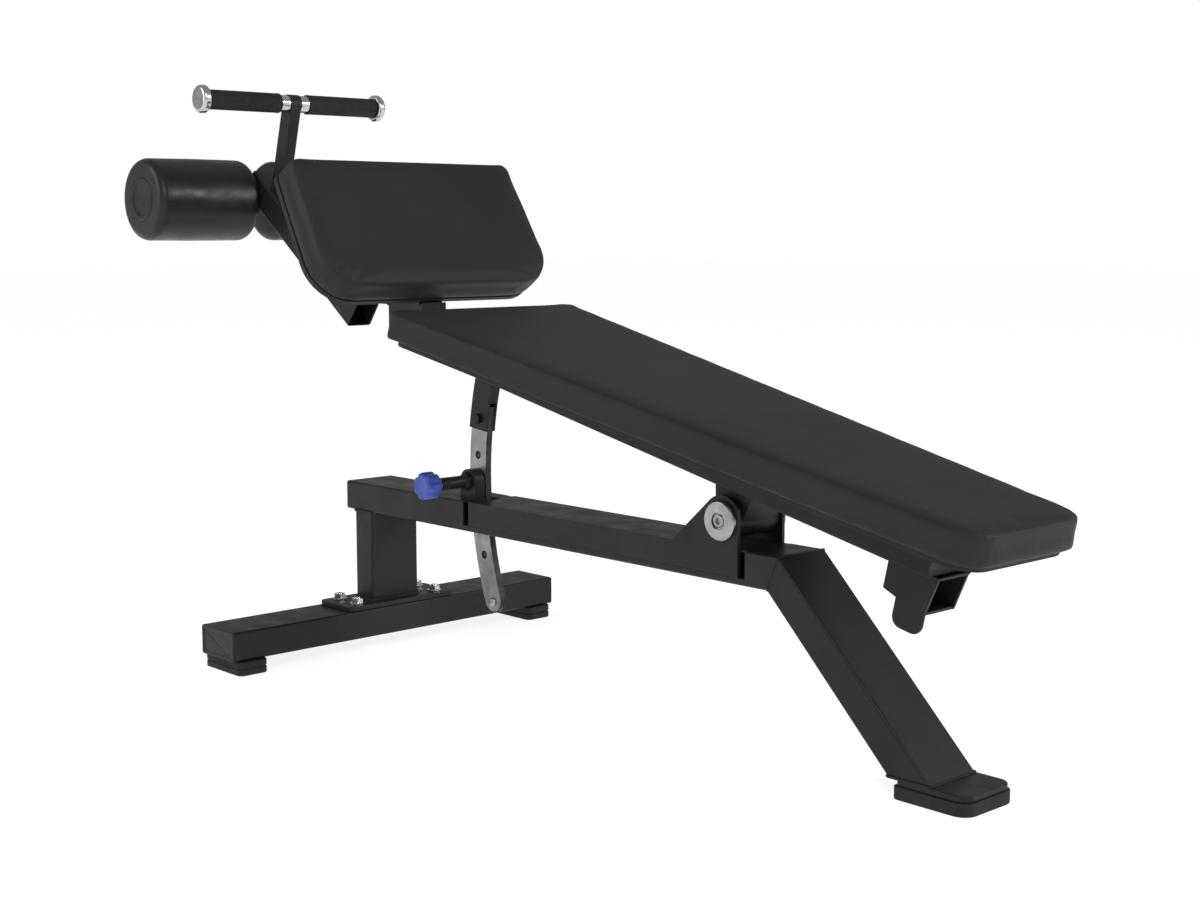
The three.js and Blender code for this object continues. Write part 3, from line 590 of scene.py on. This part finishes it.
# ---- Padding ----
def swell(bm, voxel, pressure, cap, held):
    """Cloth under pressure: the shape is remeshed, blown up and capped, and its held points stay put."""
    source = bpy.data.meshes.new("padding")
    bm.to_mesh(source)
    bm.free()
    shell = bpy.data.objects.new("padding", source)
    bpy.context.scene.collection.objects.link(shell)
    remesh = shell.modifiers.new("even_mesh", "REMESH")
    remesh.mode = "VOXEL"
    remesh.voxel_size = voxel
    graph = bpy.context.evaluated_depsgraph_get()
    even = bpy.data.meshes.new_from_object(shell.evaluated_get(graph))
    shell.modifiers.clear()
    shell.data = even
    rest = [vert.co.copy() for vert in even.vertices]
    group = shell.vertex_groups.new(name="held")
    group.add([i for i, point in enumerate(rest) if held(point)], 1.0, "REPLACE")
    cloth = shell.modifiers.new("cover", "CLOTH")
    cloth.settings.quality = 4
    cloth.settings.mass = 0.3
    cloth.settings.tension_stiffness = 20
    cloth.settings.compression_stiffness = 20
    cloth.settings.bending_stiffness = 2
    cloth.settings.use_pressure = True
    cloth.settings.uniform_pressure_force = pressure
    cloth.settings.effector_weights.gravity = 0
    cloth.settings.vertex_group_mass = "held"
    cloth.point_cache.frame_start = 1
    cloth.point_cache.frame_end = CLOTH_FRAMES
    scene = bpy.context.scene
    for step in range(1, CLOTH_FRAMES + 1):
        scene.frame_set(step)
    graph = bpy.context.evaluated_depsgraph_get()
    blown = bpy.data.meshes.new_from_object(shell.evaluated_get(graph))
    shell.modifiers.clear()
    for vert, start, moved in zip(even.vertices, rest, blown.vertices):
        move = moved.co - start
        if move.length > cap:
            move *= cap / move.length
        vert.co = start + move
    scene.frame_set(1)
    result = bmesh.new()
    result.from_mesh(even)
    bpy.data.objects.remove(shell)
    bmesh.ops.smooth_vert(result, verts=result.verts, factor=0.5, use_axis_x=True, use_axis_y=True,
                          use_axis_z=True)
    return result


def cover(bm, name, node, matrix):
    bmesh.ops.transform(bm, matrix=matrix, verts=bm.verts)
    pad = place(bm, name, node, crease=180, flat_faces=False)
    smooth = pad.modifiers.new("smooth", "SUBSURF")
    smooth.levels = 1
    smooth.render_levels = 1
    return pad


def turned_flat(node, slope):
    """A node's box in its own level frame, and the turn that puts the level frame back in place."""
    turn = Matrix.Rotation(slope, 4, "Y")
    back = turn.inverted()
    points = [back @ vert.co for vert in frame["nodes"][node].data.vertices]
    low = Vector(min(point[i] for point in points) for i in range(3))
    high = Vector(max(point[i] for point in points) for i in range(3))
    return low, high, turn


def tapered_block(low, high, start_half, end_half, start_corner, end_corner, top_edge, bottom_edge,
                  steps=10):
    """A slab whose half width runs from one value to another along x, with round corners and rolled edges."""
    bm = bmesh.new()
    corners = [(low.x, -start_half), (high.x, -end_half), (high.x, end_half), (low.x, start_half)]
    base = bm.faces.new([bm.verts.new((x, y, low.z)) for x, y in corners])
    grown = bmesh.ops.extrude_face_region(bm, geom=[base])
    lifted = [item for item in grown["geom"] if isinstance(item, bmesh.types.BMVert)]
    bmesh.ops.translate(bm, vec=(0, 0, high.z - low.z), verts=lifted)
    bmesh.ops.recalc_face_normals(bm, faces=bm.faces)
    for x, corner in ((low.x, start_corner), (high.x, end_corner)):
        round_edges(bm, corner, steps, upright_at(x), sharp=40)
    for z, ease in ((high.z, top_edge), (low.z, bottom_edge)):
        round_edges(bm, ease, 4, level_at(z), sharp=60)
    return bm


def board_pad():
    """The long tapered pad: flat underneath, and barely crowned."""
    low, high, turn = turned_flat("board_pad", BOARD_SLOPE)
    slack = 1.6 * MM
    inner_low = low + Vector((slack, 0, 0))
    inner_high = high - Vector((slack, 0, slack))
    shape = tapered_block(inner_low, inner_high, SEAT_HALF - slack, HEAD_HALF - slack, 16 * MM, 40 * MM,
                          4.5 * MM, 3.5 * MM)
    floor = low.z + 4 * MM
    pad = swell(shape, 5 * MM, PAD_PRESSURE, 2.4 * MM, lambda point: point.z < floor)
    cover(pad, "board_cushion", "board_pad", turn)


def knee_pad():
    """The pad that the knees hook over: a broad crowned face with large lower corners."""
    low, high, turn = turned_flat("knee_pad", KNEE_SLOPE)
    slack = 2 * MM
    inner_low = low + Vector((slack, 0, 0))
    inner_high = high - Vector((slack, 0, slack))
    shape = tapered_block(inner_low, inner_high, KNEE_TOP_HALF - slack, KNEE_BOTTOM_HALF - slack,
                          18 * MM, 72 * MM, 5 * MM, 4 * MM)
    floor = low.z + 4 * MM
    pad = swell(shape, 4.5 * MM, PAD_PRESSURE, 3.2 * MM, lambda point: point.z < floor)
    cover(pad, "knee_cushion", "knee_pad", turn)


def roller_foam(name):
    """A moulded foam roller: round shoulders and a slightly uneven skin."""
    node = f"roller_foam_{name}"
    radius, centre = round_size(node)
    start, end = outward_span(node)
    shoulder = 15 * MM
    mouth = 40.4 * MM
    bore = FOAM_BORE
    side = SIDES[name]
    arc = [(radius - shoulder + shoulder * math.sin(a), shoulder - shoulder * math.cos(a))
           for a in (math.pi / 2 * i / 12 for i in range(13))]
    body = [(radius, start + shoulder + (end - start - 2 * shoulder) * i / 24) for i in range(1, 24)]
    outline = [(bore, start), *[(r, start + y) for r, y in arc], *body,
               *[(r, end - y) for r, y in reversed(arc)],
               (mouth, end), (mouth - 0.6 * MM, end - 5 * MM), (bore, end - 5 * MM)]
    bm = spin_profile([(r, side * y) for r, y in outline], centre, 128, closed=True)
    for vert in bm.verts:
        out = Vector((vert.co.x - centre.x, 0, vert.co.z - centre.z))
        if out.length > mouth + 5 * MM:
            vert.co += out.normalized() * (noise.noise(vert.co * 18) - 0.5) * 0.9 * MM
    foam = place(bm, f"roller_cushion_{name}", node, crease=60, flat_faces=False)


def hem(name, node, slope, width, pitch):
    """The cover's edge, turned under a base board and stapled to it."""
    turn = Matrix.Rotation(slope, 4, "Y")
    bm = copy_of(node)
    bmesh.ops.transform(bm, matrix=turn.inverted(), verts=bm.verts)
    floor = min(vert.co.z for vert in bm.verts)
    under = [face for face in bm.faces if face.normal.z < -0.99]
    bmesh.ops.inset_region(bm, faces=under, thickness=width, depth=0, use_even_offset=True)
    centre_faces = [face for face in bm.faces if face.normal.z > 0.99 or face in under]
    bmesh.ops.delete(bm, geom=centre_faces, context="FACES")
    outline = end_outline(node, -(turn @ UP))
    bmesh.ops.solidify(bm, geom=bm.faces, thickness=-1.1 * MM)
    bmesh.ops.recalc_face_normals(bm, faces=bm.faces)
    bmesh.ops.transform(bm, matrix=turn, verts=bm.verts)
    place(bm, name, node, stands_for=False, material=FINISHES["leatherette"])
    staples = []
    back = turn.inverted()
    middle = sum((back @ point for point in outline), Vector()) / len(outline)
    for i, point in enumerate(outline):
        start = back @ point
        run = back @ outline[(i + 1) % len(outline)] - start
        count = int(run.length / pitch)
        for k in range(count):
            spot = start + run * ((k + 0.5) / count)
            inward = run.cross(UP)
            if inward.dot(middle - spot) < 0:
                inward = -inward
            spot += inward.normalized() * width * 0.55
            crown = bmesh.new()
            bmesh.ops.create_cube(crown, size=1)
            bmesh.ops.scale(crown, vec=(10 * MM, 1.1 * MM, 0.7 * MM), verts=crown.verts)
            round_edges(crown, 0.25 * MM, 1)
            heading = Matrix.Rotation(math.atan2(run.y, run.x) + math.radians(18), 4, "Z")
            lift = Matrix.Translation((spot.x, spot.y, floor - 1.3 * MM))
            bmesh.ops.transform(crown, matrix=turn @ lift @ heading, verts=crown.verts)
            staples.append(crown)
    place(merged(*staples), f"{name}_staples", node, stands_for=False, material=FINISHES["steel"])


# ---- Under-frame ----
def outer_face(bm, outward):
    """The largest face that looks outwards."""
    return max(bm.faces, key=lambda face: face.calc_area() * (face.normal.dot(outward) > 0.99))


def tube_cap(node, outward):
    """A pressed-in tube cap: round corners, an eased rim and a shallow dished face."""
    bm = copy_of(node)
    plate_depth = 5 * MM
    round_edges(bm, TUBE_CORNER, 4, lambda edge: parallel(edge, outward) and edge.calc_length() < plate_depth)
    bm.normal_update()
    face = outer_face(bm, outward)
    bmesh.ops.bevel(bm, geom=list(face.edges), offset=1.2 * MM, segments=3, profile=0.5,
                    affect="EDGES", material=-1)
    bm.normal_update()
    face = outer_face(bm, outward)
    bmesh.ops.inset_region(bm, faces=[face], thickness=5 * MM, depth=0)
    bmesh.ops.inset_region(bm, faces=[face], thickness=1 * MM, depth=-0.7 * MM)
    place(bm, f"{node}_moulded", node)


def foot_block(node, corners, top_edge, bottom_edge, groove=False):
    """A foot or foot plate: a block with upright corners rounded, given as (rear, front) radii."""
    bm = block(node)
    low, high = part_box(node)
    for x, corner in ((low.x, corners[0]), (high.x, corners[1])):
        round_edges(bm, corner, 8, upright_at(x), sharp=60)
    for z, ease in ((high.z, top_edge), (low.z, bottom_edge)):
        round_edges(bm, ease, 3, level_at(z), sharp=60)
    if groove:
        height = high.z - low.z
        levels = (low.z + 0.42 * height, low.z + 0.58 * height)
        for z in levels:
            bmesh.ops.bisect_plane(bm, geom=bm.verts[:] + bm.edges[:] + bm.faces[:], plane_co=(0, 0, z),
                                   plane_no=UP)
        band = [face for face in bm.faces if abs(face.normal.z) < 0.1
                and levels[0] < face.calc_center_median().z < levels[1]]
        bmesh.ops.inset_region(bm, faces=band, thickness=0.4 * MM, depth=-1.2 * MM, use_even_offset=True)
    place(bm, f"{node}_shaped", node)


def base_bolts():
    for number in range(1, 5):
        node = f"base_bolt_{number}"
        low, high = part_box(node)
        centre = Vector(((low.x + high.x) / 2, (low.y + high.y) / 2, 0))
        rim = (high.x - low.x) / 2
        plate_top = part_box("base_plate")[1].z + GAP
        washer = [(0, plate_top), (rim, plate_top), (rim, plate_top + 1.8 * MM),
                  (rim - 1 * MM, plate_top + 2.5 * MM), (0, plate_top + 2.5 * MM)]
        head = hex_head(centre, UP, 10.5 * MM, plate_top + 2.6 * MM, high.z)
        dome = [(0, high.z - 1 * MM), (6.5 * MM, high.z - 1 * MM), (5.6 * MM, high.z + 1.2 * MM),
                (0, high.z + 2.6 * MM)]
        bm = merged(turned_on(centre, UP, washer), head, turned_on(centre, UP, dome))
        place(bm, f"{node}_head", node, crease=30)


def frame_pieces():
    for node in ("crossbar", "post", "beam", "leg"):
        tube(node)
    for node in ("side_plate_near", "side_plate_far"):
        plate(node, 1.0 * MM)
    for name, side in SIDES.items():
        tube_cap(f"crossbar_cap_{name}", Vector((0, side, 0)))
        foot_block(f"rubber_foot_{name}", (10 * MM, 10 * MM), 2 * MM, 2 * MM, groove=True)
    tube_cap("beam_cap", Vector((-1, 0, 0)))
    foot_block("base_plate", (12 * MM, 12 * MM), 1.2 * MM, 0.5 * MM)
    foot_block("leg_foot_plate", (8 * MM, 20 * MM), 1.6 * MM, 0.5 * MM)
    foot_block("leg_shoe", (8 * MM, 22 * MM), 1.5 * MM, 2.5 * MM)
    base_bolts()
    mitre = math.radians(22.5)
    weld("weld_post_foot", "post", DOWN, 3 * MM)
    weld("weld_post_head", "post", UP, 3 * MM)
    weld("weld_knee", "leg", Vector((-math.cos(mitre), 0, math.sin(mitre))), 1.3 * MM)
    weld("weld_leg_foot", "leg", DOWN, 2.2 * MM)
    weld("weld_pin_housing", "pin_housing", DOWN, 2 * MM)


def pivot_pieces():
    for name, side in SIDES.items():
        node = f"pivot_cap_{name}"
        low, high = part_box(node)
        radius, centre = round_size(node)
        start, end = outward_span(node)
        face = [(0, start), (radius, start), (radius, start + 4.5 * MM), (radius - 2.2 * MM, end - 1.4 * MM),
                (13.4 * MM, end), (12 * MM, end - 0.6 * MM), (12 * MM, start + 4 * MM), (0, start + 4 * MM)]
        turned(node, face, 0.9 * MM, material=faced((low + high) / 2))
        outward = (0, side, 0)
        top = end - 1.2 * MM
        screw = [(0, start + 4.1 * MM), (9.6 * MM, start + 4.1 * MM), (9.6 * MM, top - 1 * MM),
                 (8.6 * MM, top), (0, top)]
        socket = hex_prism(centre, outward, 5.2 * MM, top - 3 * MM, top + 2 * MM)
        place(combine(turned_on(centre, outward, screw), socket, "DIFFERENCE"), f"pivot_screw_{name}", node,
              stands_for=False, crease=30, material=FINISHES["steel"])
    rod("pivot_shaft")
    sleeve("pivot_bush_near", BUSH_BORE, 0.4 * MM)
    sleeve("pivot_bush_far", BUSH_BORE, 0.4 * MM)


def knob():
    """A fluted knob: round lobes with hollows between them."""
    node = "pop_knob"
    radius, centre = round_size(node)
    start, end = outward_span(node)
    lobes = 7
    bm = bmesh.new()
    bmesh.ops.create_circle(bm, cap_ends=False, radius=1, segments=lobes * 20)
    for vert in bm.verts:
        angle = math.atan2(vert.co.y, vert.co.x)
        vert.co *= 1 - 0.13 * (0.5 - 0.5 * math.cos(lobes * angle)) ** 1.6
    turn = UP.rotation_difference(Vector((0, -1, 0))).to_matrix().to_4x4()
    bmesh.ops.transform(bm, matrix=turn, verts=bm.verts)
    length = end - start
    levels = [(0.0, 0.50), (0.0, 0.62), (0.10, 0.66), (0.16, 0.70), (0.20, 0.86), (0.26, 0.96), (0.34, 1.0),
              (0.78, 1.0), (0.88, 0.975), (0.95, 0.92), (0.99, 0.83), (1.0, 0.74), (0.985, 0.66), (0.975, 0.4)]
    ring = list(bm.edges)
    size = 1.0
    at = 0.0
    for i, (along, scale) in enumerate(levels):
        if i:
            grown = bmesh.ops.extrude_edge_only(bm, edges=ring)["geom"]
            ring = [item for item in grown if isinstance(item, bmesh.types.BMEdge)]
            verts = [item for item in grown if isinstance(item, bmesh.types.BMVert)]
        else:
            verts = list(bm.verts)
        bmesh.ops.translate(bm, vec=(0, -(along - at) * length / radius, 0), verts=verts)
        bmesh.ops.scale(bm, vec=(scale / size, 1, scale / size), verts=verts)
        size, at = scale, along
    bmesh.ops.holes_fill(bm, edges=bm.edges, sides=0)
    bmesh.ops.scale(bm, vec=(radius, radius, radius), verts=bm.verts)
    bmesh.ops.translate(bm, vec=(centre.x, -start, centre.z), verts=bm.verts)
    bmesh.ops.recalc_face_normals(bm, faces=bm.faces)
    place(bm, "pop_knob_fluted", node, crease=50, flat_faces=False)


def pin_pieces():
    plate("pin_housing", 1.2 * MM, 3)
    node = "pin_barrel"
    start, end = outward_span(node)
    body = 10.5 * MM
    bore = 6.4 * MM
    collar = 13 * MM
    grooves = [end - 9 * MM, end - 13 * MM]
    outline = [(bore, start), (collar, start), (collar, start + 8 * MM), (body, start + 10 * MM)]
    for at in reversed(grooves):
        outline += [(body, at - 1 * MM), (body - 0.9 * MM, at - 0.5 * MM), (body - 0.9 * MM, at + 0.5 * MM),
                    (body, at + 1 * MM)]
    outline += [(body, end), (bore, end)]
    turned(node, outline, 0.4 * MM, closed=True)
    rod("pop_pin", 1.2 * MM)
    knob()
    centre = round_size(node)[1]
    nut = hex_head(centre, (0, -1, 0), 15.5 * MM, start + 0.2 * MM, start + 7 * MM)
    place(nut, "pin_lock_nut", node, stands_for=False, crease=30, material=FINISHES["black_paint"])


# ---- Tilting part ----
def board_pieces():
    board_pad()
    plate("board_base", 0.6 * MM)
    tube("board_tube")
    tube_cap("board_tube_cap", ALONG_BOARD)
    plate("lift_bracket", 1.0 * MM)
    plate("pivot_barrel", 1.0 * MM)
    plate("arc_clevis", 0.7 * MM)
    hem("board_cover_hem", "board_base", BOARD_SLOPE, 26 * MM, 42 * MM)
    weld("weld_lift_bracket", "lift_bracket", ABOVE_BOARD, 2 * MM)
    weld("weld_pivot_pedestal", "pivot_barrel", ABOVE_BOARD, 2.6 * MM)
    weld("weld_arc_clevis", "arc_clevis", ABOVE_BOARD, 2 * MM)


def arc_pieces():
    bm = copy_of("arc_plate")
    round_edges(bm, 0.8 * MM, 2)
    bm.normal_update()
    # Edge faces and hole walls take a dark finish: partly the darker cut edge, partly painted shade inside the
    # holes.
    for face in bm.faces:
        face.material_index = 1 if abs(face.normal.y) < 0.5 else 0
    shown = place(bm, "arc_plate_plated", "arc_plate", crease=30, material=ARC_METAL)
    shown.data.materials.append(CUT_EDGE_AND_HOLE_SHADE)
    low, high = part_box("arc_bolt")
    centre = round_size("arc_bolt")[1]
    across = 8.5 * MM
    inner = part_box("arc_clevis")[1].y + GAP
    near_head = hex_head(centre, (0, -1, 0), across, inner, -low.y)
    nut = hex_head(centre, (0, 1, 0), across, inner, inner + 6.7 * MM)
    profile = [(0, low.y + 2 * MM), (5 * MM, low.y + 2 * MM), (5 * MM, high.y - 1 * MM),
               (4.2 * MM, high.y), (0, high.y)]
    shank = turned_on(centre, (0, 1, 0), profile)
    place(merged(near_head, nut, shank), "arc_bolt_and_nut", "arc_bolt", crease=30)
    low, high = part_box("arc_stop")
    rim, centre = round_size("arc_stop")
    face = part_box("arc_plate")[1].y + GAP
    head = [(0, face), (rim, face), (rim, face + 2.5 * MM), (rim - 2 * MM, high.y - 0.8 * MM),
            (rim - 4 * MM, high.y), (0, high.y)]
    heads = [turned_on(centre, (0, side, 0), head) for side in (-1, 1)]
    profile = [(0, low.y + 2 * MM), (4 * MM, low.y + 2 * MM), (4 * MM, high.y - 2 * MM),
               (0, high.y - 2 * MM)]
    shank = turned_on(centre, (0, 1, 0), profile)
    place(merged(*heads, shank), "arc_stop_stud", "arc_stop", crease=30)


def neck_pieces():
    for node in ("seat_stub", "neck_post", "neck_bridge", "support_tube"):
        tube(node)
    plate("knee_pad_plate", 1 * MM)
    plate("knee_pad_board", 0.8 * MM)
    knee_pad()
    hem("knee_cover_hem", "knee_pad_board", KNEE_SLOPE, 24 * MM, 38 * MM)
    weld("weld_stub_rear", "seat_stub", Vector((-1, 0, 0)), 2.4 * MM)
    weld("weld_stub_front", "seat_stub", ALONG_BOARD, 2.4 * MM)
    weld("weld_bridge_front", "neck_bridge", Vector((1, 0, 0)), 2.4 * MM)
    weld("weld_bridge_rear", "neck_bridge", UNDER_SUPPORT, 2.4 * MM)


def roller_pieces():
    for name in SIDES:
        roller_foam(name)
        node = f"roller_cap_{name}"
        radius = round_size(node)[0]
        start, end = outward_span(node)
        rib = end - 1.5 * MM
        turned(node, [(0, start), (radius, start), (radius, rib), (radius - 3.5 * MM, end),
                      (radius - 9 * MM, end), (radius - 11 * MM, rib - 0.6 * MM), (11 * MM, rib - 1.2 * MM),
                      (9 * MM, rib - 2.4 * MM), (0, rib - 2.4 * MM)], 0.8 * MM)
        sleeve(f"roller_core_{name}", CORE_BORE)
    sleeve("axle_sleeve", AXLE_BORE, 1 * MM)
    rod("roller_axle")


def handle_pieces():
    bm = copy_of("handle_post")
    round_edges(bm, 3 * MM, 3, lambda edge: edge.calc_length() > 60 * MM)
    round_edges(bm, 0.8 * MM, 2, sharp=60)
    place(bm, "handle_post_painted", "handle_post")
    weld("weld_handle_post", "handle_post", UNDER_SUPPORT, 2.2 * MM)
    sleeve("handle_bar", HANDLE_BAR_BORE)
    for name in SIDES:
        bore = GRIP_BORE
        sleeve(f"grip_collar_{name}", bore, 1.4 * MM)
        node = f"grip_{name}"
        radius = round_size(node)[0]
        start, end = outward_span(node)
        flange = 6 * MM
        pitch = 5 * MM
        outline = [(bore, start), (radius, start), (radius, start + flange),
                   (radius - 0.6 * MM, start + flange + 1 * MM)]
        count = int((end - start - 2 * flange) / pitch)
        for i in range(1, count):
            at = start + flange + pitch * i
            outline += [(radius - 0.2 * MM, at - 1.6 * MM), (radius - 0.2 * MM, at + 1.6 * MM),
                        (radius - 0.45 * MM, at + 2.5 * MM)]
        outline += [(radius, end - flange + 1 * MM), (radius, end), (bore, end)]
        turned(node, outline, 0.5 * MM, closed=True)
        node = f"handle_cap_{name}"
        radius = round_size(node)[0]
        start, end = outward_span(node)
        turned(node, [(0, start + 3 * MM), (bore, start + 3 * MM), (bore, start), (radius - 3 * MM, start),
                      (radius, start + 3 * MM), (radius, end - 4.5 * MM), (radius - 2.5 * MM, end - 1.2 * MM),
                      (radius - 6 * MM, end), (0, end)], 1.4 * MM)


# Dark finish of the arc plate's edges: partly a darker cut edge, partly painted shade inside the holes.
CUT_EDGE_AND_HOLE_SHADE = plated("cut_edge_and_painted_hole_shade", (0.035, 0.034, 0.033), (0.07, 0.068, 0.066), (0.45, 0.6),
                  (1, 0.2, 1), 120)
ARC_METAL = plated("zinc_plated_plate", (0.22, 0.225, 0.23), (0.36, 0.365, 0.37), (0.34, 0.5),
                   (1, 1, 0.12), 160)

set_camera()
set_stage()
frame_pieces()
pivot_pieces()
pin_pieces()
board_pieces()
arc_pieces()
neck_pieces()
roller_pieces()
handle_pieces()

for node, shown in frame["nodes"].items():
    for material_slot in shown.material_slots:
        material_slot.material = FINISHES[SLOT_OF[node]]
